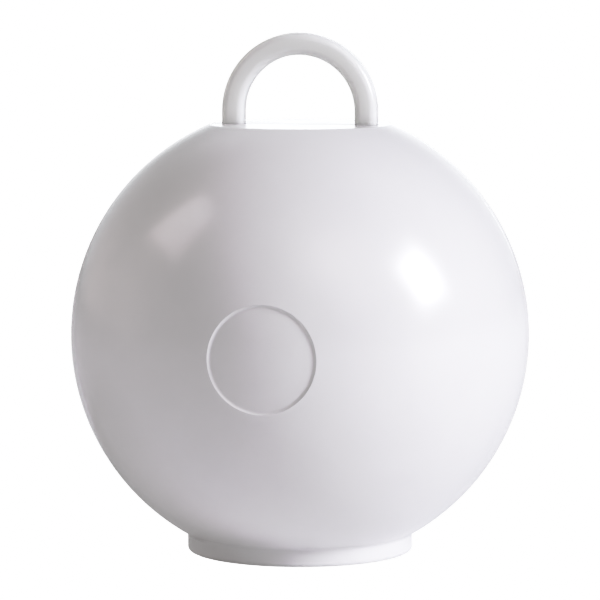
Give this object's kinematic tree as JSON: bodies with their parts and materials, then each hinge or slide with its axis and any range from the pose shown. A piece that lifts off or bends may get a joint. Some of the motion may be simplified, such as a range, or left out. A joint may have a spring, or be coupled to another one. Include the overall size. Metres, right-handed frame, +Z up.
{
  "type": "balloon weight",
  "caption": "Hollow white plastic ball filled with sand, on a low round foot, with a flat crown that carries a loop for tying balloon ribbons.",
  "frame": {"origin": "on the resting surface, under the middle of the foot", "axes": "+Z up through the middle of the ball and its crown; the loop and the seam of the ball lie in the XZ plane; the round panel faces -Y"},
  "size_m": [0.05, 0.0498, 0.0566],
  "materials": {
    "white_plastic": "polished moulded polypropylene, white",
    "loop_plastic": "polished moulded polypropylene, white",
    "plug_plastic": "moulded polypropylene, white, satin underneath",
    "sand": "dry fine sand"
  },
  "bodies": {
    "root": {"front_shell": "white_plastic", "rear_shell": "white_plastic", "ribbon_loop": "loop_plastic", "base_plug": "plug_plastic", "sand_ballast": "sand"}
  },
  "joints": []
}
